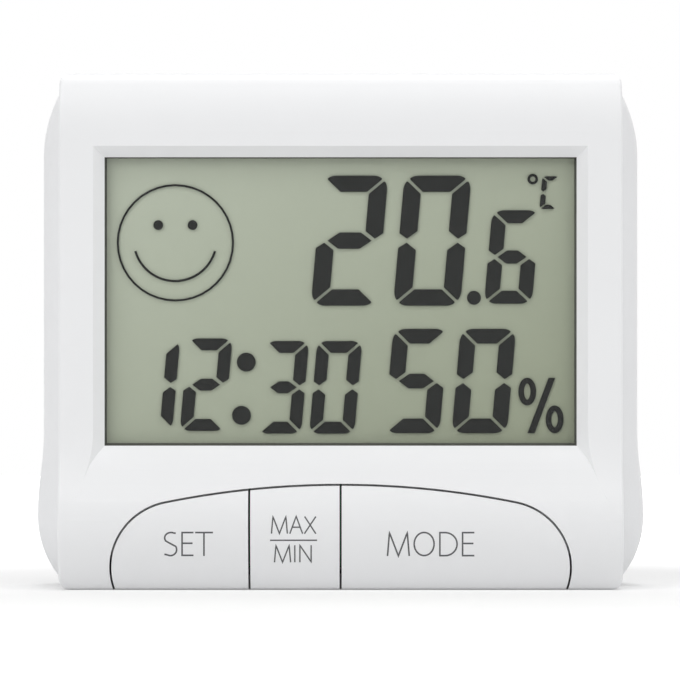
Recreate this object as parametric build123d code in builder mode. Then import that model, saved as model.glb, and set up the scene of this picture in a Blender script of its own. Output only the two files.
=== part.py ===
from build123d import *
import math
import os

os.makedirs("parts", exist_ok=True)

# A desktop thermo-hygrometer. Millimetres, X to the right, Y to the back, Z up.
# The origin is on the table, under the middle of the case.

# Case
DEPTH = 22.0
FACE_WIDTH = 70.9
HEIGHT = 65.1
WALL = 1.8
CORNER_R = 1.5
EDGE_R = 0.4
BACK_R = 3.5
FRONT_DEPTH = 6.6
TONGUE = 0.8
TONGUE_LENGTH = 1.2
SEAM_GAP = 0.1

# Front section: a flat face that rolls over the top and swells into a chin
CHIN_TURN = 24.0
SCOOP_R = 19.2
BROW_R = 8.6
ROLL_R = 13.8
CREST_Z = 8.8
TOE_R = 0.8
CROWN_R = 10.65
CROWN_TURN = 35.0
NOSE_R = 3.27

# Flanks of the rear shell, which stand out beside the front one
WING_OUT = 2.5
WING_FLARE = 0.8
WING_TOP_R = 17.5
WING_TOP_TURN = 30.0
WING_FOOT_R = 12.0
WING_FOOT_TURN = 42.5
WING_HEEL_R = 5.2
WING_OVER = 0.9
WING_INSET = 0.3
WING_FLARE_TOP = 20.0
WING_FRONT_R = 4.5
WING_BACK_R = 5.0

# Window
WINDOW_HALF = 29.7
WINDOW_FOOT = 18.1
TOP_BAR = 10.7
WINDOW_DEPTH = 1.2
BEVEL_SLOPE = 1.15
SILL_ANGLE = 40.0
SILL_TURN = 19.0
SILL_R = 10.4
LENS_LAP = 1.5
LENS_THICK = 1.0
LENS_GAP = 0.1

# Buttons
BUTTONS_HALF = 28.75
BUTTONS_APEX = 13.12
BUTTONS_ARC_R = 111.6
BUTTONS_CORNER_R = 8.4
BUTTON_GAP = 0.27
BUTTON_LIFT = 0.1
SET_SPLIT_X = -11.45
MODE_SPLIT_X = 0.0
FLANGE_OUT = 0.8
FLANGE_THICK = 0.8
FLANGE_GAP = 0.15
FLANGE_FOOT = 2.4
TRAVEL = 0.3
TRAVEL_ROOM = 0.3
BUTTON_LIP = 2.6
CAP_WALL = 1.2

# Display
FILM_THICK = 0.2
GLASS_THICK = 0.6
GLASS_SIDE = 1.3
GLASS_UNDER = 2.7
GLASS_OVER = 1.2
LEDGE = 2.2
FILM_INSET = 0.5
FRAME_PLATE = 0.8
FRAME_RIM = 1.35
FRAME_GAP = 0.15
FRAME_BACK_GAP = 0.1
FRAME_HOLE_GAP = 2.4
ZEBRA_HALF = 28.0
ZEBRA_HEIGHT = 1.4

# Board and switches
BOARD_THICK = 1.0
BOARD_GAP = 1.55
BOARD_POST_GAP = 0.2
BOARD_FOOT = 2.6
BOARD_TAIL_GAP = 0.6
SWITCH_SIZE = 6.0
SWITCH_HEIGHT = 3.5
SWITCH_CORNER_R = 0.5
SWITCH_BEVEL = 0.3
SWITCH_Z = 6.5
PLUNGER_R = 1.75
PLUNGER_OUT = 0.8
PLUNGER_IN = 1.0
PLUNGER_GAP = 0.08
STEM_R = 2.0

# Screws
SCREW_R = 0.95
SCREW_HEAD_R = 1.8
SCREW_HEAD = 1.3
SCREW_HOLE_R = 1.15
PILOT_R = 0.95
BOSS_R = 1.85
POST_R = 3.0
CASE_SCREW_LENGTH = 8.0
CASE_SCREW_BITE = 4.5
BOARD_SCREW_LENGTH = 4.0
BOARD_SCREW_INSET = 2.5
TOP_SCREW_SIDE = 5.85
TOP_SCREW_DOWN = 5.5
LOW_SCREW_SIDE = 3.75
LOW_SCREW_UP = 5.6
PILOT_SPARE = 0.4

# Battery, an AAA cell, and its compartment
CELL_R = 5.25
CELL_LENGTH = 44.5
CELL_NUB_R = 1.9
CELL_NUB = 0.9
CELL_EDGE_R = 0.4
CELL_DROP = 22.1
CELL_GAP = 0.35
CRADLE_WALL = 1.1
SPRING_LENGTH = 3.0
SPRING_WIRE_R = 0.3
SPRING_R = 2.9
SPRING_TURNS = 3
CONTACT_TAPER = 15.0
CONTACT_THICK = 0.4
CONTACT_HALF = 3.6
CONTACT_PIMPLE = 1.0
TAIL_HALF = 1.2
TAIL_DROP = 8.8
COVER_THICK = 1.6
COVER_LAP = 1.5
COVER_GAP = 0.2
COVER_SEAT_GAP = 0.15
COVER_HEEL_R = 0.4
COVER_EDGE_R = 0.3
PAD_THICK = 2.0
TAB_WIDTH = 6.0
TAB_SPACING = 30.0
TAB_LENGTH = 1.1
TAB_THICK = 1.0
TAB_ROOM = 0.3
TAB_SWEEP = 2.0
LATCH_WIDTH = 10.0
LATCH_HEIGHT = 5.0
LATCH_SLIT = 0.8
LATCH_THICK = 1.1
RIB_COUNT = 3
RIB_PITCH = 0.8
RIB_WIDTH = 0.35
THUMB_WIDTH = 12.0
THUMB_R = 2.6
THUMB_DEPTH = 1.0

# Stand
STAND_TOP_HALF = 17.0
STAND_FOOT_HALF = 13.0
STAND_THICK = 2.2
STAND_PROUD_GAP = 0.15
STAND_FOOT = 4.8
STAND_CORNER_R = 4.0
STAND_GAP = 0.25
STAND_RECESS = 2.8
STAND_DROP = 5.3
STAND_AXIS_DEPTH = 1.6
STAND_BARREL_R = 1.1
STAND_HEEL = 0.55
STAND_ROOF = 1.3
STAND_PIN_R = 0.8
STAND_PIN_GAP = 0.08
STAND_PIN_LENGTH = 1.6
STAND_WEB = 1.2
NOTCH_WIDTH = 12.0
NOTCH_HEIGHT = 5.0

# Wall hanger and vents
KEYHOLE_R = 3.2
KEYHOLE_DOWN = 8.9
KEYHOLE_SLOT_R = 1.6
KEYHOLE_RISE = 3.6
VENT_COUNT = 5
VENT_PITCH = 2.4
VENT_WIDTH = 1.1
VENT_HEIGHT = 9.0
VENT_X = 26.0
VENT_DROP = 6.0

# Board parts
BLOB_R = 5.5
BLOB_HEIGHT = 1.5
BLOB_DOWN = 10.0
CRYSTAL_R = 1.0
CRYSTAL_LENGTH = 6.0
CRYSTAL_X = 11.0
CRYSTAL_DOWN = 15.0
CAPACITOR_R = 2.0
CAPACITOR_HEIGHT = 5.4
CAPACITOR_X = -12.0
CAPACITOR_DOWN = 19.0
SENSOR_SIZE = 3.0
SENSOR_HEIGHT = 1.1
SENSOR_PORT_R = 0.6
SENSOR_INSET = 3.5
SENSOR_DOWN = 8.0
BEAD_R = 1.2
BEAD_HALF = 0.96
BEAD_EDGE_R = 0.4
CHIP_LENGTH = 2.0
CHIP_WIDTH = 1.2
CHIP_HEIGHT = 0.8
CHIP_X = 9.0
CHIP_DOWN = 4.0
CHIP_PITCH = 3.0
RESISTOR_LENGTH = 1.6
RESISTOR_WIDTH = 0.8
RESISTOR_HEIGHT = 0.5
RESISTOR_DOWN = 2.5
LOW_ROW_DOWN = 21.0

# The leads, by how far each turn lies below the contact's tail and inward of it
LEAD_R = 0.4
LEAD_EASE = 0.45
LEAD_FIRST_DROP = 4.8
LEAD_FIRST_DEPTH = 0.4
LEAD_SECOND_DROP = 9.0
LEAD_SECOND_DEPTH = 4.2
LEAD_SECOND_IN = 0.9
LEAD_LANDING_DROP = 13.6
LEAD_LANDING_IN = 2.1
LEAD_END_DROP = 18.2
LEAD_END_IN = 2.6

# Planes and places that follow from the sizes
FACE_HALF = FACE_WIDTH / 2
TURN = math.radians(CHIN_TURN)
FACE_Y = (SCOOP_R + BROW_R) * (1 - math.cos(TURN)) - DEPTH / 2
BACK_Y = DEPTH / 2
SEAM_Y = FACE_Y + FRONT_DEPTH
SCOOP_TOP_Z = CREST_Z + (SCOOP_R + BROW_R) * math.sin(TURN)
CROWN = math.radians(CROWN_TURN)
CROWN_DEPTH = CROWN_R * (1 - math.cos(CROWN)) + NOSE_R * math.cos(CROWN)
ROLL_TURN = math.degrees(math.asin(CREST_Z / ROLL_R))
WING_HALF = FACE_HALF + WING_OUT
WINDOW_TOP = HEIGHT - TOP_BAR

LENS_Y = FACE_Y + WINDOW_DEPTH
LENS_BACK_Y = LENS_Y + LENS_THICK
FILM_Y = LENS_BACK_Y + LENS_GAP
GLASS_Y = FILM_Y + FILM_THICK
REAR_GLASS_Y = GLASS_Y + GLASS_THICK
REFLECTOR_Y = REAR_GLASS_Y + GLASS_THICK
TRAY_Y = REFLECTOR_Y + FILM_THICK
FRAME_BACK_Y = TRAY_Y + FRAME_PLATE
BOARD_Y = FRAME_BACK_Y + FRAME_BACK_GAP
BOARD_BACK_Y = BOARD_Y + BOARD_THICK

SWITCH_TOP_Y = BOARD_Y - SWITCH_HEIGHT
PLUNGER_TOP_Y = SWITCH_TOP_Y - PLUNGER_OUT
BUTTON_BACK_Y = FACE_Y + BUTTON_LIP
FLOOR_EDGE_Y = BUTTON_BACK_Y + TRAVEL + TRAVEL_ROOM
CORNER_X = BUTTONS_HALF - BUTTONS_CORNER_R
ARC_Z = BUTTONS_APEX - BUTTONS_ARC_R
CORNER_Z = ARC_Z + math.sqrt((BUTTONS_ARC_R - BUTTONS_CORNER_R) ** 2 - CORNER_X ** 2)

CELL_Z = HEIGHT - CELL_DROP
TAIL_FOOT = CELL_Z - TAIL_DROP
COVER_SEAT_Y = BACK_Y - COVER_THICK - COVER_SEAT_GAP
CELL_Y = BACK_Y - COVER_THICK - CELL_GAP - CELL_R
CRADLE_R = CELL_R + CELL_GAP
CRADLE_HALF = (CELL_LENGTH + SPRING_LENGTH + CONTACT_PIMPLE + 2 * CONTACT_THICK + SEAM_GAP) / 2
CELL_LEFT_X = CONTACT_THICK + SPRING_LENGTH - CRADLE_HALF
COVER_HALF = CRADLE_HALF + COVER_LAP
COVER_HALF_HEIGHT = CRADLE_R + COVER_LAP
COVER_FOOT_Z = CELL_Z - COVER_HALF_HEIGHT
COVER_TOP_Z = CELL_Z + COVER_HALF_HEIGHT

STAND_AXIS_Y = BACK_Y - STAND_AXIS_DEPTH
STAND_AXIS_Z = COVER_FOOT_Z - STAND_DROP
STAND_BACK_Y = BACK_Y - STAND_PROUD_GAP
CASE_SEAT_Y = SEAM_Y - CASE_SCREW_BITE + CASE_SCREW_LENGTH

GLASS_HALF = WINDOW_HALF + GLASS_SIDE
GLASS_FOOT = WINDOW_FOOT - GLASS_UNDER
GLASS_TOP = WINDOW_TOP + GLASS_OVER
TOP_SCREW_X = FACE_HALF - TOP_SCREW_SIDE
LOW_SCREW_X = FACE_HALF - LOW_SCREW_SIDE
TOP_SCREW_SPOTS = [(side * TOP_SCREW_X, HEIGHT - TOP_SCREW_DOWN) for side in (-1, 1)]
LOW_SCREW_SPOTS = [(side * LOW_SCREW_X, LOW_SCREW_UP) for side in (-1, 1)]
CASE_SCREW_SPOTS = TOP_SCREW_SPOTS + LOW_SCREW_SPOTS
BOARD_HALF = FACE_HALF - WALL - BOARD_GAP
BOARD_NECK_HALF = LOW_SCREW_X - POST_R - BOARD_POST_GAP
BOARD_NECK_TOP = LOW_SCREW_UP + POST_R + BOARD_TAIL_GAP
KEYHOLE_Z = HEIGHT - KEYHOLE_DOWN
VENT_Z = STAND_AXIS_Z - VENT_DROP
BOARD_TOP = TAIL_FOOT - BOARD_TAIL_GAP
BOARD_SCREW_Z = BOARD_NECK_TOP + BOARD_SCREW_INSET
BOARD_SCREW_SPOTS = [(side * (BOARD_HALF - BOARD_SCREW_INSET), BOARD_SCREW_Z) for side in (-1, 1)]


def level(y):
    """A drawing plane at a depth: X to the right, Z up, and extrusions run to the front."""
    return Plane.XZ.offset(-y)


# Sections and outlines


def front_section(back_y, inset=0.0):
    """The side view of the front form, as (depth, height), pulled in by an inset."""
    with BuildSketch() as section:
        with BuildLine():
            top = Line((back_y, HEIGHT), (FACE_Y + CROWN_DEPTH, HEIGHT))
            nose = JernArc(top @ 1, (-1, 0), NOSE_R, 90 - CROWN_TURN)
            crown = JernArc(nose @ 1, nose % 1, CROWN_R, CROWN_TURN)
            face = Line(crown @ 1, (FACE_Y, SCOOP_TOP_Z))
            scoop = JernArc(face @ 1, (0, -1), SCOOP_R, -CHIN_TURN)
            brow = JernArc(scoop @ 1, scoop % 1, BROW_R, CHIN_TURN)
            roll = JernArc(brow @ 1, brow % 1, ROLL_R, ROLL_TURN)
            Polyline(roll @ 1, (back_y, 0), top @ 0)
        make_face()
        fillet(section.vertices().sort_by(Axis.Y)[:2].sort_by(Axis.X)[0], TOE_R)
        if inset:
            offset(amount=-inset)
    return section.sketch_local


def button_field(grow=0.0, foot=0.0):
    """The front view of the field that the buttons fill: a low arch with round shoulders."""
    radius = BUTTONS_CORNER_R + grow
    lean = math.degrees(math.atan2(CORNER_Z - ARC_Z, CORNER_X))
    start = math.degrees(math.asin((foot - CORNER_Z) / radius))
    with BuildSketch() as field:
        with BuildLine():
            right = CenterArc((CORNER_X, CORNER_Z), radius, start, lean - start)
            CenterArc((0, ARC_Z), BUTTONS_ARC_R + grow, lean, 180 - 2 * lean)
            left = CenterArc((-CORNER_X, CORNER_Z), radius, 180 - lean, lean - start)
            Line(left @ 1, right @ 0)
        make_face()
    return field.sketch_local


def case_outline(inset):
    """The front view of the case without its flanks."""
    with BuildSketch() as outline:
        with Locations((0, HEIGHT / 2)):
            Rectangle(FACE_WIDTH - 2 * inset, HEIGHT - 2 * inset)
        if inset < CORNER_R:
            fillet(outline.vertices(), CORNER_R - inset)
    return outline.sketch_local


def wing_outline(inset):
    """The widest outline of the rear shell, which swells towards its feet."""
    foot_sine = math.sin(math.radians(WING_FOOT_TURN))
    widest = WING_FOOT_R * foot_sine + WING_HEEL_R * (1 - foot_sine) - WING_OVER
    drop = WING_FLARE_TOP - widest
    turn = 2 * math.atan(WING_FLARE / drop)
    radius = drop / (2 * math.sin(turn))
    top_sine = math.sin(math.radians(WING_TOP_TURN))
    shoulder = HEIGHT + WING_OVER - WING_TOP_R * top_sine - WING_HEEL_R * (1 - top_sine)
    with BuildSketch() as outline:
        with BuildLine():
            bend = JernArc((WING_HALF, shoulder), (0, 1), WING_TOP_R, WING_TOP_TURN)
            crest = JernArc(bend @ 1, bend % 1, WING_HEEL_R, 90 - WING_TOP_TURN)
            Line(crest @ 1, (0, HEIGHT + WING_OVER))
            side = Line((WING_HALF, shoulder), (WING_HALF, WING_FLARE_TOP))
            out = JernArc(side @ 1, (0, -1), radius, math.degrees(turn))
            down = JernArc(out @ 1, out % 1, radius, -math.degrees(turn))
            foot = JernArc(down @ 1, (0, -1), WING_FOOT_R, -WING_FOOT_TURN)
            heel = JernArc(foot @ 1, foot % 1, WING_HEEL_R, WING_FOOT_TURN - 90)
            Line(heel @ 1, (0, -WING_OVER))
            mirror(about=Plane.YZ)
        make_face()
        if inset:
            offset(amount=-inset)
    return outline.sketch_local


def wing_form(inset):
    """The rear shell's flanks as one pillow, rounded to the front and the back."""
    back = BACK_Y - inset
    with BuildPart() as form:
        with BuildSketch(level(back)):
            add(wing_outline(inset))
        extrude(amount=back - SEAM_Y - inset)
        fillet(form.faces().sort_by(Axis.Y)[0].edges(), WING_FRONT_R - inset)
        fillet(form.faces().sort_by(Axis.Y)[-1].edges(), WING_BACK_R - inset)
        # the flanks end flat at the foot of the case and just below its top
        with BuildSketch(level(back)):
            with Locations((0, (HEIGHT - WING_INSET) / 2)):
                Rectangle(2 * FACE_WIDTH, HEIGHT - WING_INSET - 2 * inset)
        extrude(amount=DEPTH, mode=Mode.INTERSECT)
    return form.part


def rear_form(inset):
    """The rear shell's solid form, pulled in by an inset and open at the seam."""
    wings = wing_form(inset)
    with BuildPart() as form:
        with BuildSketch(level(BACK_Y - inset)):
            add(case_outline(inset))
        extrude(amount=BACK_Y - inset - SEAM_Y)
        fillet(form.faces().sort_by(Axis.Y)[-1].edges(), BACK_R - inset)
        add(wings)
    return form.part


def stand_outline(grow=0.0):
    """The stand's plate below its hinge: a tapered tongue with a round foot."""
    with BuildSketch() as outline:
        with BuildLine():
            Polyline(
                (-STAND_TOP_HALF, STAND_AXIS_Z),
                (STAND_TOP_HALF, STAND_AXIS_Z),
                (STAND_FOOT_HALF, STAND_FOOT),
                (-STAND_FOOT_HALF, STAND_FOOT),
                close=True,
            )
        make_face()
        fillet(outline.vertices().group_by(Axis.Y)[0], STAND_CORNER_R)
        if grow:
            offset(amount=grow, kind=Kind.INTERSECTION)
    return outline.sketch_local


# Front cover


with BuildPart() as window_cut:
    with BuildSketch(Plane.YZ.offset(-FACE_HALF)):
        with BuildLine():
            sill_start = (LENS_Y, WINDOW_FOOT)
            sill_lean = math.radians(SILL_ANGLE)
            sill = JernArc(sill_start, (-math.sin(sill_lean), -math.cos(sill_lean)), SILL_R, SILL_TURN)
            front_y = (sill @ 1).X - DEPTH / 4
            away = PolarLine(sill @ 1, DEPTH / 4, direction=sill % 1, length_mode=LengthMode.HORIZONTAL)
            Polyline(
                away @ 1,
                (front_y, WINDOW_TOP + (LENS_Y - front_y) * BEVEL_SLOPE),
                (LENS_Y, WINDOW_TOP),
                (LENS_Y + LENS_THICK / 2, WINDOW_TOP),
                (LENS_Y + LENS_THICK / 2, WINDOW_FOOT),
                sill_start,
            )
        make_face()
    extrude(amount=FACE_WIDTH)
    with BuildSketch(Plane.XY):
        spread = (LENS_Y - front_y) * BEVEL_SLOPE
        with BuildLine():
            Polyline(
                (-WINDOW_HALF, LENS_Y + LENS_THICK),
                (-WINDOW_HALF, LENS_Y),
                (-WINDOW_HALF - spread, front_y),
                (WINDOW_HALF + spread, front_y),
                (WINDOW_HALF, LENS_Y),
                (WINDOW_HALF, LENS_Y + LENS_THICK),
                close=True,
            )
        make_face()
    extrude(amount=HEIGHT, mode=Mode.INTERSECT)

with BuildPart() as front_cover:
    with BuildSketch(Plane.YZ.offset(-FACE_HALF)):
        add(front_section(SEAM_Y))
    extrude(amount=FACE_WIDTH)
    rim = front_cover.faces().filter_by(Axis.X).edges()
    fillet([e for e in rim if e.center().Y < SEAM_Y - SEAM_GAP], EDGE_R)
    with BuildSketch(level(SEAM_Y)):
        add(case_outline(0))
    extrude(amount=DEPTH, mode=Mode.INTERSECT)
    with BuildSketch(Plane.YZ.offset(WALL - FACE_HALF)):
        add(front_section(BACK_Y, WALL))
    extrude(amount=FACE_WIDTH - 2 * WALL, mode=Mode.SUBTRACT)
    # the tongue that the rear cover slips over
    with BuildSketch(level(SEAM_Y + TONGUE_LENGTH)):
        add(case_outline(WALL - TONGUE))
        add(case_outline(WALL), mode=Mode.SUBTRACT)
    extrude(amount=TONGUE_LENGTH)
    # the bosses for the case screws and the board screws
    with BuildSketch(level(SEAM_Y)):
        with Locations(*CASE_SCREW_SPOTS):
            Circle(BOSS_R)
    extrude(amount=SEAM_Y - FACE_Y - WALL / 2)
    with BuildSketch(level(SEAM_Y)):
        with Locations(*LOW_SCREW_SPOTS):
            Circle(BOSS_R)
    extrude(amount=SEAM_Y - FACE_Y + WALL / 2)
    with BuildSketch(level(BOARD_Y)):
        with Locations(*BOARD_SCREW_SPOTS):
            Circle(BOSS_R)
    extrude(amount=BOARD_Y - FACE_Y)
    with BuildSketch(level(SEAM_Y)):
        with Locations(*CASE_SCREW_SPOTS):
            Circle(PILOT_R)
    extrude(amount=CASE_SCREW_BITE + PILOT_SPARE, mode=Mode.SUBTRACT)
    with BuildSketch(level(BOARD_Y)):
        with Locations(*BOARD_SCREW_SPOTS):
            Circle(PILOT_R)
    extrude(amount=BOARD_SCREW_LENGTH - BOARD_THICK + PILOT_SPARE, mode=Mode.SUBTRACT)
    # the window, its slopes and the seat of the lens behind it
    add(window_cut.part, mode=Mode.SUBTRACT)
    with BuildSketch(level(LENS_BACK_Y + WALL)):
        with Locations((0, (WINDOW_FOOT + WINDOW_TOP) / 2)):
            Rectangle(
                2 * (WINDOW_HALF + LENS_LAP + SEAM_GAP),
                WINDOW_TOP - WINDOW_FOOT + 2 * (LENS_LAP + SEAM_GAP),
            )
    extrude(amount=LENS_THICK + WALL, mode=Mode.SUBTRACT)
    # the field of the buttons, open below
    with BuildSketch(level(FLOOR_EDGE_Y)):
        add(button_field(BUTTON_GAP, -TOE_R))
    extrude(amount=DEPTH, mode=Mode.SUBTRACT)
front_cover.part.label = "front_cover"


# Buttons: the caps carry on the chin's surface, and a flange behind keeps each one in


def button_cap(left, right, switch_x):
    """One hollow cap between two upright splits, with its flange and the stem on its switch."""
    with BuildPart() as hollow:
        with BuildSketch(Plane.YZ.offset(left + CAP_WALL)):
            add(front_section(DEPTH, WALL))
        extrude(amount=right - left - 2 * CAP_WALL)
        with BuildSketch(level(BACK_Y)):
            add(button_field(-CAP_WALL, BUTTON_LIFT + CAP_WALL))
        extrude(amount=2 * DEPTH, mode=Mode.INTERSECT)
    with BuildPart() as flange:
        with BuildSketch(Plane.YZ.offset(left)):
            add(front_section(DEPTH, WALL + FLANGE_GAP))
            add(front_section(DEPTH, WALL + FLANGE_GAP + FLANGE_THICK), mode=Mode.SUBTRACT)
        extrude(amount=right - left)
        with BuildSketch(level(BUTTON_BACK_Y)):
            add(button_field(FLANGE_OUT, FLANGE_FOOT))
        extrude(amount=DEPTH, mode=Mode.INTERSECT)
    with BuildPart() as cap:
        with BuildSketch(Plane.YZ.offset(left)):
            add(front_section(SEAM_Y))
        extrude(amount=right - left)
        with BuildSketch(level(BUTTON_BACK_Y)):
            add(button_field(0, BUTTON_LIFT))
        extrude(amount=DEPTH, mode=Mode.INTERSECT)
        add(flange.part)
        add(hollow.part, mode=Mode.SUBTRACT)
        with BuildSketch(level(PLUNGER_TOP_Y)):
            with Locations((switch_x, SWITCH_Z)):
                Circle(STEM_R)
        extrude(amount=PLUNGER_TOP_Y - FACE_Y + WALL / 2)
    return cap.part


def plunger(switch_x):
    """The top of a tact switch, which slides in the switch body."""
    with BuildPart() as top:
        with BuildSketch(level(SWITCH_TOP_Y + PLUNGER_IN)):
            with Locations((switch_x, SWITCH_Z)):
                Circle(PLUNGER_R)
        extrude(amount=PLUNGER_IN + PLUNGER_OUT)
    return top.part


half_gap = BUTTON_GAP / 2
button_spans = {
    "set": (-BUTTONS_HALF, SET_SPLIT_X - half_gap),
    "max_min": (SET_SPLIT_X + half_gap, MODE_SPLIT_X - half_gap),
    "mode": (MODE_SPLIT_X + half_gap, BUTTONS_HALF),
}
switch_places = {name: sum(span) / 2 for name, span in button_spans.items()}

moving_parts = []
for name, (left, right) in button_spans.items():
    cap = button_cap(left, right, switch_places[name])
    cap.label = f"{name}_button"
    top = plunger(switch_places[name])
    top.label = f"{name}_plunger"
    moving_parts += [cap, top]

with BuildPart() as switch_bodies:
    with BuildSketch(level(BOARD_Y)):
        with Locations(*[(x, SWITCH_Z) for x in switch_places.values()]):
            RectangleRounded(SWITCH_SIZE, SWITCH_SIZE, SWITCH_CORNER_R)
    extrude(amount=SWITCH_HEIGHT)
    chamfer(switch_bodies.faces().group_by(Axis.Y)[0].edges(), SWITCH_BEVEL)
    with BuildSketch(level(SWITCH_TOP_Y + PLUNGER_IN + TRAVEL + TRAVEL_ROOM)):
        with Locations(*[(x, SWITCH_Z) for x in switch_places.values()]):
            Circle(PLUNGER_R + PLUNGER_GAP)
    extrude(amount=SWITCH_HEIGHT, mode=Mode.SUBTRACT)
switch_bodies.part.label = "switch_bodies"


# Window lens and display


def plate(front_y, thick, half, foot, top):
    """A flat plate square to the depth."""
    with BuildPart() as sheet:
        with BuildSketch(level(front_y + thick)):
            with Locations((0, (foot + top) / 2)):
                Rectangle(2 * half, top - foot)
        extrude(amount=thick)
    return sheet.part


display_window = plate(
    LENS_Y, LENS_THICK, WINDOW_HALF + LENS_LAP, WINDOW_FOOT - LENS_LAP, WINDOW_TOP + LENS_LAP
)
display_window.label = "display_window"

rear_glass_foot = GLASS_FOOT + LEDGE
film_half = GLASS_HALF - FILM_INSET
film_top = GLASS_TOP - FILM_INSET
lcd_front_polariser = plate(FILM_Y, FILM_THICK, film_half, GLASS_FOOT + LEDGE - FILM_INSET, film_top)
lcd_front_polariser.label = "lcd_front_polariser"
lcd_front_glass = plate(GLASS_Y, GLASS_THICK, GLASS_HALF, GLASS_FOOT, GLASS_TOP)
lcd_front_glass.label = "lcd_front_glass"
lcd_rear_glass = plate(REAR_GLASS_Y, GLASS_THICK, GLASS_HALF, rear_glass_foot, GLASS_TOP)
lcd_rear_glass.label = "lcd_rear_glass"
lcd_rear_polariser = plate(
    REFLECTOR_Y, FILM_THICK, film_half, rear_glass_foot + FILM_INSET, film_top
)
lcd_rear_polariser.label = "lcd_rear_polariser"

zebra_foot = GLASS_FOOT + (LEDGE - ZEBRA_HEIGHT) / 2
zebra_strip = plate(
    REAR_GLASS_Y, BOARD_Y - REAR_GLASS_Y, ZEBRA_HALF, zebra_foot, zebra_foot + ZEBRA_HEIGHT
)
zebra_strip.label = "zebra_strip"

with BuildPart() as lcd_frame:
    glass_mid = (GLASS_FOOT + GLASS_TOP) / 2
    glass_height = GLASS_TOP - GLASS_FOOT
    with BuildSketch(level(FRAME_BACK_Y)):
        with Locations((0, glass_mid)):
            RectangleRounded(
                2 * (GLASS_HALF + FRAME_GAP + FRAME_RIM),
                glass_height + 2 * (FRAME_GAP + WALL - FRAME_RIM),
                FRAME_GAP + WALL - FRAME_RIM,
            )
    extrude(amount=FRAME_BACK_Y - FILM_Y)
    with BuildSketch(level(TRAY_Y)):
        with Locations((0, glass_mid)):
            Rectangle(2 * (GLASS_HALF + FRAME_GAP), glass_height + 2 * FRAME_GAP)
    extrude(amount=TRAY_Y - FILM_Y, mode=Mode.SUBTRACT)
    # the slot of the contact strip
    with BuildSketch(level(FRAME_BACK_Y)):
        with Locations((0, zebra_foot + ZEBRA_HEIGHT / 2)):
            Rectangle(2 * (ZEBRA_HALF + FRAME_GAP), ZEBRA_HEIGHT + FRAME_GAP)
    extrude(amount=FRAME_PLATE, mode=Mode.SUBTRACT)
    # openings that lighten the tray above the board
    hole_pitch = 2 * GLASS_HALF / 3
    with BuildSketch(level(FRAME_BACK_Y)):
        with Locations((0, (BOARD_TOP + film_top) / 2)):
            with GridLocations(hole_pitch, 0, 3, 1):
                Rectangle(hole_pitch - 2 * FRAME_HOLE_GAP, film_top - BOARD_TOP - 2 * FRAME_HOLE_GAP)
    extrude(amount=FRAME_PLATE, mode=Mode.SUBTRACT)
lcd_frame.part.label = "lcd_frame"


# Board and the parts on it


with BuildPart() as main_board:
    with BuildSketch(level(BOARD_BACK_Y)):
        with Locations((0, (BOARD_NECK_TOP + BOARD_TOP) / 2)):
            Rectangle(2 * BOARD_HALF, BOARD_TOP - BOARD_NECK_TOP)
        with Locations((0, (BOARD_FOOT + BOARD_NECK_TOP) / 2)):
            Rectangle(2 * BOARD_NECK_HALF, BOARD_NECK_TOP - BOARD_FOOT)
        with Locations(*BOARD_SCREW_SPOTS):
            Circle(SCREW_HOLE_R, mode=Mode.SUBTRACT)
    extrude(amount=BOARD_THICK)
main_board.part.label = "main_board"

with BuildPart() as controller_blob:
    with BuildSketch(Plane.XY):
        with BuildLine():
            dome = SagittaArc((0, BLOB_HEIGHT), (BLOB_R, 0), -BLOB_HEIGHT / 4)
            Polyline(dome @ 1, (0, 0), dome @ 0)
        make_face()
    revolve(axis=Axis.Y)
controller_blob = Pos(0, BOARD_BACK_Y, BOARD_TOP - BLOB_DOWN) * controller_blob.part
controller_blob.label = "controller_blob"

with BuildPart() as watch_crystal:
    with BuildSketch(Plane.YZ.offset(CRYSTAL_X)):
        with Locations((BOARD_BACK_Y + CRYSTAL_R, BOARD_TOP - CRYSTAL_DOWN)):
            Circle(CRYSTAL_R)
    extrude(amount=CRYSTAL_LENGTH)
    fillet(watch_crystal.edges().filter_by(GeomType.CIRCLE), CRYSTAL_R / 4)
watch_crystal.part.label = "watch_crystal"

with BuildPart() as filter_capacitor:
    with BuildSketch(level(BOARD_BACK_Y + CAPACITOR_HEIGHT)):
        with Locations((CAPACITOR_X, BOARD_TOP - CAPACITOR_DOWN)):
            Circle(CAPACITOR_R)
    extrude(amount=CAPACITOR_HEIGHT)
    fillet(filter_capacitor.edges().filter_by(GeomType.CIRCLE), CAPACITOR_R / 8)
filter_capacitor.part.label = "filter_capacitor"

with BuildPart() as humidity_sensor:
    with BuildSketch(level(BOARD_BACK_Y + SENSOR_HEIGHT)):
        with Locations((SENSOR_INSET - BOARD_HALF, BOARD_TOP - SENSOR_DOWN)):
            Rectangle(SENSOR_SIZE, SENSOR_SIZE)
    extrude(amount=SENSOR_HEIGHT)
    with BuildSketch(level(BOARD_BACK_Y + SENSOR_HEIGHT)):
        with Locations((SENSOR_INSET - BOARD_HALF, BOARD_TOP - SENSOR_DOWN)):
            Circle(SENSOR_PORT_R)
    extrude(amount=SENSOR_HEIGHT / 2, mode=Mode.SUBTRACT)
humidity_sensor.part.label = "humidity_sensor"

with BuildPart() as thermistor:
    with BuildSketch(level(BOARD_BACK_Y + BEAD_R)):
        with Locations((BOARD_HALF - SENSOR_INSET, BOARD_TOP - SENSOR_DOWN)):
            Ellipse(BEAD_HALF, BEAD_R)
    extrude(amount=BEAD_R)
    fillet(thermistor.faces().sort_by(Axis.Y)[-1].edges(), BEAD_EDGE_R)
thermistor.part.label = "thermistor"


def chips(spots, length, width, height):
    """A group of small chip parts on the back of the board."""
    with BuildPart() as group:
        with BuildSketch(level(BOARD_BACK_Y + height)):
            with Locations(*spots):
                Rectangle(length, width)
        extrude(amount=height)
    return group.part


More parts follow.
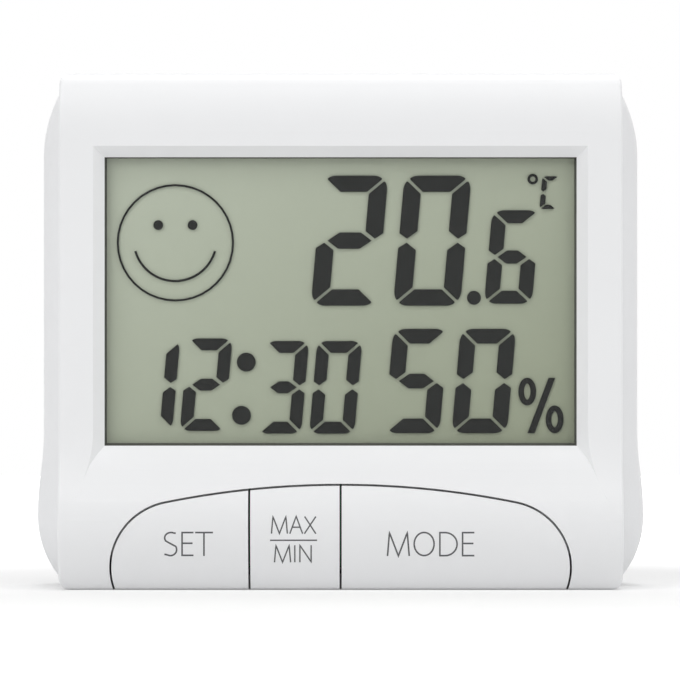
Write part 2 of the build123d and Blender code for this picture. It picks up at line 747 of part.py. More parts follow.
chip_rows = [BOARD_TOP - CHIP_DOWN, BOARD_TOP - CHIP_DOWN - CHIP_PITCH]
capacitor_spots = [(x, z) for x in (-CHIP_X, CHIP_X) for z in chip_rows]
chip_capacitors = chips(capacitor_spots, CHIP_LENGTH, CHIP_WIDTH, CHIP_HEIGHT)
chip_capacitors.label = "chip_capacitors"
top_row = [(x * CHIP_PITCH, BOARD_TOP - RESISTOR_DOWN) for x in (-1, 0, 1)]
low_row = [(x * CHIP_PITCH, BOARD_TOP - LOW_ROW_DOWN) for x in (1, 2, 3)]
chip_resistors = chips(top_row + low_row, RESISTOR_LENGTH, RESISTOR_WIDTH, RESISTOR_HEIGHT)
chip_resistors.label = "chip_resistors"


def screw(x, z, seat_y, length):
    """A small pan-head screw driven from the back, its head on its seat."""
    with BuildPart() as body:
        with BuildSketch(level(seat_y)):
            with Locations((x, z)):
                Circle(SCREW_R)
        extrude(amount=length)
        with BuildSketch(level(seat_y + SCREW_HEAD)):
            with Locations((x, z)):
                Circle(SCREW_HEAD_R)
        extrude(amount=SCREW_HEAD)
        fillet(body.faces().sort_by(Axis.Y)[-1].edges(), SCREW_HEAD / 3)
        with BuildSketch(level(seat_y + SCREW_HEAD)):
            with Locations((x, z)):
                Rectangle(SCREW_HEAD_R, SCREW_HEAD_R / 5)
                Rectangle(SCREW_HEAD_R / 5, SCREW_HEAD_R)
        extrude(amount=SCREW_HEAD / 2, mode=Mode.SUBTRACT)
    return body.part


board_screws = Compound(
    label="board_screws",
    children=[
        screw(x, z, BOARD_BACK_Y, BOARD_SCREW_LENGTH) for x, z in BOARD_SCREW_SPOTS
    ],
)
case_screws = Compound(
    label="case_screws",
    children=[screw(x, z, CASE_SEAT_Y, CASE_SCREW_LENGTH) for x, z in CASE_SCREW_SPOTS],
)


# Rear cover


solid_rear = rear_form(0)
hollow_rear = rear_form(WALL)
cradle_depth = CELL_Y + CRADLE_R
cover_middle = (COVER_FOOT_Z + COVER_TOP_Z) / 2

with BuildPart() as rear_cover:
    add(solid_rear)
    add(hollow_rear, mode=Mode.SUBTRACT)
    # the battery cradle, a trough that wraps the cell
    with BuildSketch(Plane.YZ.offset(-CRADLE_HALF - CRADLE_WALL)):
        with Locations((CELL_Y, CELL_Z)):
            Circle(CRADLE_R + CRADLE_WALL)
        with Locations(((CELL_Y + BACK_Y - WALL / 2) / 2, CELL_Z)):
            Rectangle(BACK_Y - WALL / 2 - CELL_Y, 2 * (CRADLE_R + CRADLE_WALL))
    extrude(amount=2 * (CRADLE_HALF + CRADLE_WALL))
    # the thicker wall that the battery cover closes on
    with BuildSketch(level(BACK_Y - WALL / 2)):
        with Locations((0, cover_middle)):
            Rectangle(2 * (COVER_HALF + WALL), 2 * (COVER_HALF_HEIGHT + TAB_LENGTH + TAB_ROOM))
    extrude(amount=PAD_THICK + WALL / 2)
    # the wall behind the stand's recess
    with BuildSketch(level(BACK_Y - WALL / 2)):
        add(stand_outline(STAND_GAP + STAND_WEB))
        with Locations((0, STAND_AXIS_Z)):
            Rectangle(2 * (STAND_TOP_HALF + STAND_PIN_LENGTH + STAND_WEB), 2 * (STAND_ROOF + STAND_WEB))
        with Locations((0, STAND_FOOT)):
            SlotOverall(NOTCH_WIDTH + 2 * STAND_WEB, NOTCH_HEIGHT + 2 * STAND_WEB)
    extrude(amount=STAND_RECESS + STAND_WEB - WALL / 2)
    # the posts of the case screws
    with BuildSketch(level(BACK_Y - WALL / 2)):
        with Locations(*CASE_SCREW_SPOTS):
            Circle(POST_R)
    extrude(amount=BACK_Y - WALL / 2 - SEAM_Y)
    with BuildSketch(level(BACK_Y)):
        with Locations(*CASE_SCREW_SPOTS):
            Circle(SCREW_HOLE_R)
    extrude(amount=DEPTH, mode=Mode.SUBTRACT)
    with BuildSketch(level(BACK_Y)):
        with Locations(*CASE_SCREW_SPOTS):
            Circle(SCREW_HEAD_R + SEAM_GAP)
    extrude(amount=BACK_Y - CASE_SEAT_Y, mode=Mode.SUBTRACT)
    # the rebate that takes the front cover's tongue
    with BuildSketch(level(SEAM_Y + TONGUE_LENGTH + SEAM_GAP)):
        add(case_outline(WALL - TONGUE - SEAM_GAP))
        add(case_outline(WALL + SEAM_GAP), mode=Mode.SUBTRACT)
    extrude(amount=TONGUE_LENGTH + SEAM_GAP, mode=Mode.SUBTRACT)
    # the space of the cell
    with BuildSketch(Plane.YZ.offset(-CRADLE_HALF)):
        with Locations((CELL_Y, CELL_Z)):
            Circle(CRADLE_R)
        with Locations(((CELL_Y + BACK_Y) / 2, CELL_Z)):
            Rectangle(BACK_Y - CELL_Y, 2 * CRADLE_R)
    extrude(amount=2 * CRADLE_HALF, mode=Mode.SUBTRACT)
    # the seat of the battery cover, its two hook slots and the thumb scoop
    with BuildSketch(level(BACK_Y)):
        with Locations((0, cover_middle)):
            Rectangle(2 * (COVER_HALF + COVER_GAP), 2 * (COVER_HALF_HEIGHT + COVER_GAP))
    extrude(amount=BACK_Y - COVER_SEAT_Y, mode=Mode.SUBTRACT)
    tab_slot_foot = COVER_FOOT_Z - TAB_LENGTH - TAB_ROOM
    tab_slot_top = COVER_FOOT_Z + COVER_LAP
    with BuildSketch(level(BACK_Y - COVER_THICK + TAB_THICK + SEAM_GAP)):
        with Locations((0, (tab_slot_foot + tab_slot_top) / 2)):
            with GridLocations(TAB_SPACING, 0, 2, 1):
                Rectangle(TAB_WIDTH + 2 * COVER_GAP, tab_slot_top - tab_slot_foot)
    extrude(amount=TAB_SWEEP, mode=Mode.SUBTRACT)
    with BuildSketch(Plane.YZ.offset(-THUMB_WIDTH / 2)):
        with Locations((BACK_Y + THUMB_R - THUMB_DEPTH, COVER_TOP_Z)):
            Circle(THUMB_R)
    extrude(amount=THUMB_WIDTH, mode=Mode.SUBTRACT)
    # the slots of the contacts' tails
    with BuildSketch(Plane.XZ.offset(-CELL_Y - TAIL_HALF - SEAM_GAP)):
        with Locations((0, CELL_Z - CRADLE_R - CRADLE_WALL / 2)):
            with GridLocations(2 * CRADLE_HALF - CONTACT_THICK, 0, 2, 1):
                Rectangle(CONTACT_THICK + SEAM_GAP, 2 * CRADLE_R)
    extrude(amount=2 * (TAIL_HALF + SEAM_GAP), mode=Mode.SUBTRACT)
    # the recess of the stand, its hinge holes and the finger notch
    with BuildSketch(level(BACK_Y)):
        add(stand_outline(STAND_GAP))
        with Locations((0, STAND_AXIS_Z + STAND_ROOF / 2)):
            Rectangle(2 * (STAND_TOP_HALF + STAND_GAP), STAND_ROOF)
        with Locations((0, STAND_FOOT)):
            SlotOverall(NOTCH_WIDTH, NOTCH_HEIGHT)
    extrude(amount=STAND_RECESS, mode=Mode.SUBTRACT)
    with BuildSketch(Plane.YZ.offset(-STAND_TOP_HALF - STAND_PIN_LENGTH - STAND_GAP)):
        with Locations((STAND_AXIS_Y, STAND_AXIS_Z)):
            Circle(STAND_PIN_R + STAND_PIN_GAP)
    extrude(amount=2 * (STAND_TOP_HALF + STAND_PIN_LENGTH + STAND_GAP), mode=Mode.SUBTRACT)
    # the keyhole
    with BuildSketch(level(BACK_Y)):
        with Locations((0, KEYHOLE_Z)):
            Circle(KEYHOLE_R)
        with Locations((0, KEYHOLE_Z + KEYHOLE_RISE / 2)):
            SlotCenterToCenter(KEYHOLE_RISE, 2 * KEYHOLE_SLOT_R, rotation=90)
    extrude(amount=2 * WALL, mode=Mode.SUBTRACT)
    # the vents, on both sides of the stand
    with BuildSketch(level(BACK_Y)):
        for side in (-1, 1):
            with Locations((side * VENT_X, VENT_Z)):
                with GridLocations(VENT_PITCH, 0, VENT_COUNT, 1):
                    SlotOverall(VENT_HEIGHT, VENT_WIDTH, rotation=90)
    extrude(amount=2 * WALL, mode=Mode.SUBTRACT)
rear_cover.part.label = "rear_cover"


# Battery, its contacts and leads


with BuildPart() as battery_cell:
    with BuildSketch(Plane.XY):
        with BuildLine():
            can = CELL_LENGTH - CELL_NUB
            Polyline((0, 0), (CELL_R, 0), (CELL_R, can), (CELL_NUB_R, can))
            Polyline((CELL_NUB_R, can), (CELL_NUB_R, CELL_LENGTH), (0, CELL_LENGTH), (0, 0))
        make_face()
        fillet(vertices().group_by(Axis.X)[-1], CELL_EDGE_R)
    revolve(axis=Axis.Y)
battery_cell = Pos(CELL_LEFT_X, CELL_Y, CELL_Z) * Rot(0, 0, -90) * battery_cell.part
battery_cell.label = "battery_cell"


def contact_plate(x):
    """An end contact: a plate in the cradle, with a tail down through its wall."""
    with BuildPart() as contact:
        with BuildSketch(Plane.YZ.offset(x - CONTACT_THICK / 2)):
            with Locations((CELL_Y, CELL_Z)):
                RectangleRounded(2 * CONTACT_HALF, 2 * CONTACT_HALF, CONTACT_HALF / 3)
            tail_top = CELL_Z - CONTACT_HALF / 2
            with Locations((CELL_Y, (tail_top + TAIL_FOOT) / 2)):
                Rectangle(2 * TAIL_HALF, tail_top - TAIL_FOOT)
        extrude(amount=CONTACT_THICK)
    return contact.part


contact_x = CRADLE_HALF - CONTACT_THICK / 2
positive_plate = contact_plate(contact_x)
with BuildPart() as battery_contact:
    add(positive_plate)
    with BuildSketch(Plane.YZ.offset(CRADLE_HALF - CONTACT_THICK / 2)):
        with Locations((CELL_Y, CELL_Z)):
            Circle(CELL_NUB_R)
    extrude(amount=-CONTACT_PIMPLE - CONTACT_THICK / 2, taper=CONTACT_TAPER)
battery_contact.part.label = "battery_contact"

negative_plate = contact_plate(-contact_x)
with BuildPart() as coil:
    coil_length = SPRING_LENGTH - SPRING_WIRE_R - SEAM_GAP
    with BuildLine():
        turns = Helix(coil_length / SPRING_TURNS, coil_length, SPRING_R, cone_angle=-CONTACT_TAPER)
    with BuildSketch(Plane(turns @ 0, z_dir=turns % 0)):
        Circle(SPRING_WIRE_R)
    sweep(is_frenet=True)
standing_coil = Pos(CONTACT_THICK - CRADLE_HALF, CELL_Y, CELL_Z) * Rot(0, 90, 0) * coil.part
with BuildPart() as battery_spring:
    add(standing_coil)
    add(negative_plate)
battery_spring.part.label = "battery_spring"


def lead(side):
    """A wire from a contact's tail down to the board, in one easy bend each way."""
    board_y = BOARD_BACK_Y + LEAD_R + SEAM_GAP / 2
    route = [
        (side * contact_x, CELL_Y, TAIL_FOOT),
        (side * contact_x, CELL_Y - LEAD_FIRST_DEPTH, TAIL_FOOT - LEAD_FIRST_DROP),
        (side * (contact_x - LEAD_SECOND_IN), CELL_Y - LEAD_SECOND_DEPTH, TAIL_FOOT - LEAD_SECOND_DROP),
        (side * (contact_x - LEAD_LANDING_IN), board_y, TAIL_FOOT - LEAD_LANDING_DROP),
        (side * (contact_x - LEAD_END_IN), board_y, TAIL_FOOT - LEAD_END_DROP),
    ]
    points = [Vector(*point) for point in route]
    radii = []
    for before, here, after in zip(points, points[1:], points[2:]):
        turn = math.radians((here - before).get_angle(after - here))
        shorter = min((here - before).length, (after - here).length)
        radii.append(LEAD_EASE * shorter / math.tan(turn / 2))
    with BuildPart() as wire:
        with BuildLine():
            path = FilletPolyline(*points, radius=radii)
        with BuildSketch(Plane(path @ 0, z_dir=path % 0)):
            Circle(LEAD_R)
        sweep()
    return wire.part


positive_lead = lead(1)
positive_lead.label = "positive_lead"
negative_lead = lead(-1)
negative_lead.label = "negative_lead"


# Battery cover: it hooks in below and its thumb latch is drawn pressed in


with BuildPart() as battery_cover:
    with BuildSketch(level(BACK_Y)):
        with Locations((0, cover_middle)):
            Rectangle(2 * COVER_HALF, 2 * COVER_HALF_HEIGHT)
    extrude(amount=COVER_THICK)
    outer_rim = battery_cover.faces().sort_by(Axis.Y)[-1].edges().sort_by(Axis.Z)
    fillet(outer_rim[0], COVER_HEEL_R)
    fillet(outer_rim[1:], COVER_EDGE_R)
    with BuildSketch(level(BACK_Y - COVER_THICK + TAB_THICK)):
        with Locations((0, COVER_FOOT_Z)):
            with GridLocations(TAB_SPACING, 0, 2, 1):
                Rectangle(TAB_WIDTH, 2 * TAB_LENGTH)
    extrude(amount=TAB_THICK)
    # slits that free the latch tongue, which is thinner than the cover
    with BuildSketch(level(BACK_Y)):
        with Locations((0, COVER_TOP_Z - LATCH_HEIGHT / 2)):
            with GridLocations(LATCH_WIDTH, 0, 2, 1):
                Rectangle(LATCH_SLIT, LATCH_HEIGHT)
    extrude(amount=COVER_THICK, mode=Mode.SUBTRACT)
    with BuildSketch(level(BACK_Y)):
        with Locations((0, COVER_TOP_Z)):
            Rectangle(LATCH_WIDTH, LATCH_HEIGHT)
    extrude(amount=COVER_THICK - LATCH_THICK, mode=Mode.SUBTRACT)
    # grip ribs on the tongue
    with BuildSketch(level(BACK_Y)):
        with Locations((0, COVER_TOP_Z - LATCH_HEIGHT / 4)):
            with GridLocations(0, RIB_PITCH, 1, RIB_COUNT):
                Rectangle(LATCH_WIDTH - 3 * LATCH_SLIT, RIB_WIDTH)
    extrude(amount=COVER_THICK - LATCH_THICK)
battery_cover.part.label = "battery_cover"


# Stand: a plate with a barrel and two pins in one piece


with BuildPart() as stand:
    with BuildSketch(level(STAND_BACK_Y)):
        add(stand_outline())
        with Locations((0, STAND_AXIS_Z)):
            Rectangle(2 * STAND_TOP_HALF, 2 * STAND_HEEL)
    extrude(amount=STAND_THICK)
    with BuildSketch(Plane.YZ.offset(-STAND_TOP_HALF)):
        with Locations((STAND_AXIS_Y, STAND_AXIS_Z)):
            Circle(STAND_BARREL_R)
    extrude(amount=2 * STAND_TOP_HALF)
    with BuildSketch(Plane.YZ.offset(-STAND_TOP_HALF - STAND_PIN_LENGTH)):
        with Locations((STAND_AXIS_Y, STAND_AXIS_Z)):
            Circle(STAND_PIN_R)
    extrude(amount=2 * (STAND_TOP_HALF + STAND_PIN_LENGTH))
    # the inner side is cored, which leaves a rim and one rib
    with BuildSketch(level(STAND_BACK_Y - STAND_THICK / 2)):
        add(stand_outline(-2 * STAND_WEB))
        with Locations((0, STAND_AXIS_Z)):
            Rectangle(2 * STAND_TOP_HALF, 6 * STAND_BARREL_R, mode=Mode.SUBTRACT)
        with Locations((0, STAND_AXIS_Z / 2)):
            Rectangle(STAND_WEB, STAND_AXIS_Z, mode=Mode.SUBTRACT)
    extrude(amount=STAND_THICK, mode=Mode.SUBTRACT)
stand.part.label = "stand"


pieces = [
    front_cover.part,
    rear_cover.part,
    display_window,
    lcd_front_polariser,
    lcd_front_glass,
    lcd_rear_glass,
    lcd_rear_polariser,
    lcd_frame.part,
    zebra_strip,
    main_board.part,
    controller_blob,
    watch_crystal.part,
    filter_capacitor.part,
    humidity_sensor.part,
    thermistor.part,
    chip_capacitors,
    chip_resistors,
    switch_bodies.part,
    board_screws,
    case_screws,
    battery_cell,
    battery_contact.part,
    battery_spring.part,
    positive_lead,
    negative_lead,
    battery_cover.part,
    stand.part,
    *moving_parts,
]
for piece in pieces:
    export_step(piece, f"parts/{piece.label}.step")
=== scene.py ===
import math
import bmesh
import bpy
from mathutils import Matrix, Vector
from mathutils.bvhtree import BVHTree


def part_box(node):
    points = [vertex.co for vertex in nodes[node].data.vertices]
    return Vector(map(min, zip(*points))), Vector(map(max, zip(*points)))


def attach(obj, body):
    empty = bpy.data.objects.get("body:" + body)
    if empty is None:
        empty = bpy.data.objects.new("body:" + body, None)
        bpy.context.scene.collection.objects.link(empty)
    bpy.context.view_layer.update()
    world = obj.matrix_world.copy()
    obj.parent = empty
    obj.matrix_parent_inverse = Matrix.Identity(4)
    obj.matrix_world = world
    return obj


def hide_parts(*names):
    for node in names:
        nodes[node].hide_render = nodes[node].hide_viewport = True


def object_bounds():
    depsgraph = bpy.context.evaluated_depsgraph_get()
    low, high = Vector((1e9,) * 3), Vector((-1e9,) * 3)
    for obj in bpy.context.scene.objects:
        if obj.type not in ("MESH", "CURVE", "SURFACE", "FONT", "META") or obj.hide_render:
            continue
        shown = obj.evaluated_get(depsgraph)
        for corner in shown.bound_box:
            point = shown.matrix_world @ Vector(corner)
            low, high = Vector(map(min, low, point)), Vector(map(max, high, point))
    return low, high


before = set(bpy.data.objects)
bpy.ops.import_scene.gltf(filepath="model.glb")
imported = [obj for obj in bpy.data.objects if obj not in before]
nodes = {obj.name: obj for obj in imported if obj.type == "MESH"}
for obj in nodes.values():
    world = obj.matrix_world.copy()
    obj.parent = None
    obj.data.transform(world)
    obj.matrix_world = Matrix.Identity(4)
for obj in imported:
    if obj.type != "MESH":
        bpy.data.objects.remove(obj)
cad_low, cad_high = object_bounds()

MM = 0.001
scene = bpy.context.scene

MIDDLE_Z = 31.4 * MM
CAMERA_DISTANCE = 0.6
CAMERA_X = -0.075 * MM
PICTURE_SHIFT = 0.025 * MM
PICTURE_WIDTH = 85.4 * MM
SENSOR = 36.0
WINDOW_SUNK = 1.2 * MM
FACE_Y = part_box("display_window")[0].y - WINDOW_SUNK
IMAGE_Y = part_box("lcd_front_polariser")[0].y
INK_THICK = 0.02 * MM
INK_RISE = 0.012 * MM
FILM_GAP = 0.01 * MM


# Materials

def link(tree, source, target):
    tree.links.new(source, target)


def speckle(tree, scale, detail=3.0, roughness=0.55):
    """A noise pattern in the object's own space, scale in waves per metre."""
    place = tree.nodes.get("Place")
    if place is None:
        place = tree.nodes.new("ShaderNodeTexCoord")
        place.name = "Place"
    noise = tree.nodes.new("ShaderNodeTexNoise")
    noise.inputs["Scale"].default_value = scale
    noise.inputs["Detail"].default_value = detail
    noise.inputs["Roughness"].default_value = roughness
    link(tree, place.outputs["Object"], noise.inputs["Vector"])
    return noise.outputs["Fac"]


def spread(tree, value, low, high, start=0.3, end=0.7):
    """Maps a pattern from start..end to low..high."""
    ramp = tree.nodes.new("ShaderNodeMapRange")
    ramp.inputs["From Min"].default_value = start
    ramp.inputs["From Max"].default_value = end
    ramp.inputs["To Min"].default_value = low
    ramp.inputs["To Max"].default_value = high
    link(tree, value, ramp.inputs["Value"])
    return ramp.outputs["Result"]


def mixed(tree, value, dark, light):
    """A colour between dark and light by a pattern."""
    mix = tree.nodes.new("ShaderNodeMix")
    mix.data_type = "RGBA"
    mix.inputs["A"].default_value = (*dark, 1.0)
    mix.inputs["B"].default_value = (*light, 1.0)
    link(tree, value, mix.inputs["Factor"])
    return mix.outputs["Result"]


def bump(tree, value, depth):
    node = tree.nodes.new("ShaderNodeBump")
    node.inputs["Strength"].default_value = 1.0
    node.inputs["Distance"].default_value = depth
    link(tree, value, node.inputs["Height"])
    return node.outputs["Normal"]


PATCHES = 60.0
ROUGH_SPREAD = 0.1


def finish(name, colour, rough, shift=0.03, metal=0.0, grain=900.0, depth=0.01 * MM, coat=0.0):
    """A surface with slight patches of tone, a grain in its gloss and a fine relief."""
    material = bpy.data.materials.new(name)
    material.use_nodes = True
    tree = material.node_tree
    shader = tree.nodes["Principled BSDF"]
    light = tuple(min(1.0, c * (1 + shift)) for c in colour)
    dark = tuple(c * (1 - shift) for c in colour)
    tone = spread(tree, speckle(tree, PATCHES), 0.0, 1.0)
    link(tree, mixed(tree, tone, dark, light), shader.inputs["Base Color"])
    smooth, dull = rough * (1 - ROUGH_SPREAD), min(1.0, rough * (1 + ROUGH_SPREAD))
    gloss = spread(tree, speckle(tree, grain / 2), smooth, dull)
    link(tree, gloss, shader.inputs["Roughness"])
    link(tree, bump(tree, speckle(tree, grain), depth), shader.inputs["Normal"])
    shader.inputs["Metallic"].default_value = metal
    shader.inputs["Coat Weight"].default_value = coat
    return material


def clear(name, colour, alpha, rough):
    """A clear sheet: mostly see-through, with its gloss on top."""
    material = finish(name, colour, rough, shift=0.01, grain=120.0, depth=0.0005 * MM)
    shader = material.node_tree.nodes["Principled BSDF"]
    shader.inputs["Alpha"].default_value = alpha
    shader.inputs["Specular IOR Level"].default_value = 0.2
    return material


def paint(material, *names):
    for name in names:
        for holder in nodes[name].material_slots:
            holder.material = material


def wear(name, colour, rough, *owners, **look):
    """One finish for the nodes that wear it."""
    paint(finish(name, colour, rough, **look), *owners)


SHELL_WHITE = (0.86, 0.865, 0.875)
REAR_WHITE = (0.84, 0.845, 0.855)
SATIN = {"shift": 0.006, "grain": 5200.0, "depth": 0.004 * MM}
COARSE = {"shift": 0.01, "grain": 4200.0, "depth": 0.02 * MM}
wear("front_white", SHELL_WHITE, 0.38, "front_cover", **SATIN)
wear("button_white", SHELL_WHITE, 0.36, "set_button", "max_min_button", "mode_button", **SATIN)
wear("rear_white", REAR_WHITE, 0.5, "rear_cover", "battery_cover", "stand", **COARSE)
paint(clear("window_clear", (0.3, 0.31, 0.3), 0.02, 0.12), "display_window")
film_clear = clear("film_clear", (0.42, 0.46, 0.36), 0.03, 0.3)
paint(film_clear, "lcd_front_polariser")
wear("tray_white", (0.8, 0.8, 0.8), 0.5, "lcd_frame", grain=3000.0)
wear("reflector_grey", (0.58, 0.61, 0.52), 0.6, "lcd_rear_polariser", shift=0.02, grain=6000.0)
wear("resin_black", (0.02, 0.02, 0.022), 0.18, "controller_blob", shift=0.2, grain=300.0, depth=0.05 * MM)
wear("can_steel", (0.72, 0.72, 0.73), 0.25, "watch_crystal", metal=1.0, grain=1500.0)
wear("sleeve_black", (0.03, 0.035, 0.06), 0.35, "filter_capacitor", shift=0.15)
wear("sensor_white", (0.82, 0.82, 0.8), 0.6, "humidity_sensor", grain=4000.0, depth=0.02 * MM)
wear("bead_black", (0.04, 0.03, 0.03), 0.3, "thermistor", shift=0.2)
wear("chip_tan", (0.5, 0.36, 0.22), 0.5, "chip_capacitors", shift=0.12, grain=4000.0)
wear("chip_black", (0.03, 0.03, 0.032), 0.4, "chip_resistors", shift=0.2, grain=4000.0)
wear("switch_black", (0.035, 0.035, 0.038), 0.42, "switch_bodies", shift=0.15, grain=3000.0)
wear("plunger_black", (0.05, 0.05, 0.05), 0.35, "set_plunger", "max_min_plunger", "mode_plunger", shift=0.15)
wear("wire_red", (0.55, 0.03, 0.03), 0.35, "positive_lead", shift=0.1)
wear("wire_black", (0.02, 0.02, 0.02), 0.35, "negative_lead", shift=0.2)
wear("contact_nickel", (0.75, 0.74, 0.7), 0.22, "battery_contact", "battery_spring", metal=1.0, grain=1200.0)
wear("screw_zinc", (0.62, 0.62, 0.63), 0.3, "board_screws", "case_screws", metal=1.0, grain=1800.0)
wear("solder_green", (0.02, 0.2, 0.07), 0.3, "main_board", shift=0.12, grain=1500.0, coat=0.3)
wear("stripe_rubber", (0.1, 0.1, 0.105), 0.7, "zebra_strip", shift=0.3, grain=3000.0)


def tinted(tree, factor, colour):
    """Lays a colour over the shader's own where the factor is one."""
    shader = tree.nodes["Principled BSDF"]
    under = shader.inputs["Base Color"].links[0].from_socket
    mix = tree.nodes.new("ShaderNodeMix")
    mix.data_type = "RGBA"
    link(tree, factor, mix.inputs["Factor"])
    link(tree, under, mix.inputs["A"])
    mix.inputs["B"].default_value = (*colour, 1.0)
    link(tree, mix.outputs["Result"], shader.inputs["Base Color"])


def distance_along(tree, axis, origin):
    """How far a point lies from the origin along an axis, to either side."""
    split = tree.nodes.new("ShaderNodeSeparateXYZ")
    link(tree, tree.nodes["Place"].outputs["Object"], split.inputs["Vector"])
    less = tree.nodes.new("ShaderNodeMath")
    less.operation = "SUBTRACT"
    link(tree, split.outputs[axis], less.inputs[0])
    less.inputs[1].default_value = origin
    size = tree.nodes.new("ShaderNodeMath")
    size.operation = "ABSOLUTE"
    link(tree, less.outputs["Value"], size.inputs[0])
    return size.outputs["Value"]


BAND_FROM = 33.0 * MM
BUTTON_RISE = 1.0 * MM
JACKET_HALF = 21.5 * MM
EDGE = 0.05 * MM
JACKET_BLUE = (0.03, 0.075, 0.2)
COPPER = (0.62, 0.3, 0.12)
STEEL = (0.66, 0.65, 0.62)


def banded(tree, origin, start):
    """Nought nearer to the origin along the cell than start, and one further away."""
    return spread(tree, distance_along(tree, "X", origin), 0.0, 1.0, start, start + EDGE)


def cell_jacket():
    """A printed film with a copper band at the button end, and bare steel at both ends."""
    low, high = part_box("battery_cell")
    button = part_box("battery_contact")[0].x
    middle = (low.x + high.x) / 2
    side = math.copysign(1.0, button - middle)
    material = finish("cell_jacket", JACKET_BLUE, 0.3, shift=0.08)
    tree = material.node_tree
    flat_end = middle - side * (high.x - low.x) / 2
    tinted(tree, banded(tree, flat_end, BAND_FROM), COPPER)
    steel = banded(tree, middle - side * BUTTON_RISE / 2, JACKET_HALF)
    tinted(tree, steel, STEEL)
    link(tree, steel, tree.nodes["Principled BSDF"].inputs["Metallic"])
    return material


paint(cell_jacket(), "battery_cell")


# Olive grey ground colours at its painted-lit upper left and its painted-shade lower right
GROUND_PAINTED_LIT = (0.53, 0.58, 0.47)
GROUND_PAINTED_SHADE = (0.295, 0.326, 0.226)
GRAIN_SHARE = 0.015
LOW_GLOSS = 0.15


def display_back():
    """The display's resting ground: olive grey, with painted light that makes it lighter at the upper left
    and painted shade that makes it darker at the lower right, and a faint cross grain.
    """
    material = bpy.data.materials.new("display_ground_with_painted_light")
    material.use_nodes = True
    tree = material.node_tree
    shader = tree.nodes["Principled BSDF"]
    low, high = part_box("lcd_front_glass")
    place = tree.nodes.new("ShaderNodeTexCoord")
    split = tree.nodes.new("ShaderNodeSeparateXYZ")
    link(tree, place.outputs["Object"], split.inputs["Vector"])
    # Painted light and shade: the colour slopes across and down the ground, lit at the upper left and shaded
    # at the lower right
    across = spread(tree, split.outputs["X"], 0.0, 0.5, low.x, high.x)
    down = spread(tree, split.outputs["Z"], 0.5, 0.0, low.z, high.z)
    total = tree.nodes.new("ShaderNodeMath")
    link(tree, across, total.inputs[0])
    link(tree, down, total.inputs[1])
    ground = mixed(tree, total.outputs["Value"], GROUND_PAINTED_LIT, GROUND_PAINTED_SHADE)
    grain = spread(tree, speckle(tree, 4000.0), 1 - GRAIN_SHARE, 1 + GRAIN_SHARE)
    scale = tree.nodes.new("ShaderNodeVectorMath")
    scale.operation = "SCALE"
    link(tree, ground, scale.inputs[0])
    link(tree, grain, scale.inputs["Scale"])
    link(tree, scale.outputs["Vector"], shader.inputs["Base Color"])
    shader.inputs["Roughness"].default_value = 0.6
    link(tree, bump(tree, speckle(tree, 6000.0), 0.004 * MM), shader.inputs["Normal"])
    return material


paint(display_back(), "lcd_front_glass", "lcd_rear_glass")
segment_ink = finish("segment_ink", (0.017, 0.018, 0.017), 0.5, shift=0.05, grain=3000.0)
ink_shader = segment_ink.node_tree.nodes["Principled BSDF"]
ink_shader.inputs["Specular IOR Level"].default_value = LOW_GLOSS
# Painted shade: a dark olive for the line round the display's edge, where the gap under the window's rim
# lies in shade
edge_shade_ink = finish("edge_shade_ink", (0.1, 0.105, 0.085), 0.5, shift=0.05, grain=3000.0)
label_ink = finish("label_ink", (0.09, 0.09, 0.095), 0.5, shift=0.08, grain=3000.0)


# Flat shapes as closed outlines of (x, z) in millimetres

MITRE_LEAST = 0.4
CORNER_SHARE = 0.8
BOW_TURNS = (54.0, 66.0, 78.0, 90.0)
TIP_DROP = 0.3
TIP_IN = 0.45
TIP_BACK = 0.42
BAR_SHOULDER = 0.7
DIAGONAL = math.sqrt(0.5)


def ribbon(points, width, closed=False):
    """Quads of a stroke along points, mitred at its turns."""
    count = len(points)
    sides = []
    for i, (x, z) in enumerate(points):
        if closed:
            before, after = points[i - 1], points[(i + 1) % count]
        else:
            before, after = points[max(i - 1, 0)], points[min(i + 1, count - 1)]
        here = Vector((x, z))
        back = here - Vector(before)
        ahead = Vector(after) - here
        if back.length == 0:
            back = ahead
        if ahead.length == 0:
            ahead = back
        back.normalize()
        ahead.normalize()
        bisector = (back + ahead).normalized()
        normal = Vector((-bisector.y, bisector.x))
        reach = width / 2 / max(MITRE_LEAST, normal.dot(Vector((-back.y, back.x))))
        sides.append((here + normal * reach, here - normal * reach))
    last = count if closed else count - 1
    quads = []
    for i in range(last):
        a, b = sides[i]
        c, d = sides[(i + 1) % count]
        quads.append([tuple(a), tuple(c), tuple(d), tuple(b)])
    return quads


def divided(points, step):
    """The same line with points no further apart than step."""
    result = [points[0]]
    for before, after in zip(points, points[1:]):
        span = (Vector(after) - Vector(before)).length
        pieces = max(1, math.ceil(span / step))
        for k in range(1, pieces + 1):
            spot = Vector(before).lerp(Vector(after), k / pieces)
            result.append(tuple(spot))
    return result


def oval(cx, cz, rx, rz, start=0.0, end=360.0, count=40):
    turns = [math.radians(start + (end - start) * i / count) for i in range(count + 1)]
    return [(cx + rx * math.cos(t), cz + rz * math.sin(t)) for t in turns]


def ring(cx, cz, rx, rz, width):
    return ribbon(oval(cx, cz, rx, rz)[:-1], width, closed=True)


def disc(cx, cz, r):
    return [oval(cx, cz, r, r, count=28)[:-1]]


LEAN = math.tan(math.radians(5.0))
SEGMENTS = {"0": "abcdef", "1": "bc", "2": "abged", "3": "abgcd", "5": "afgcd", "6": "afgcde", "C": "afed"}


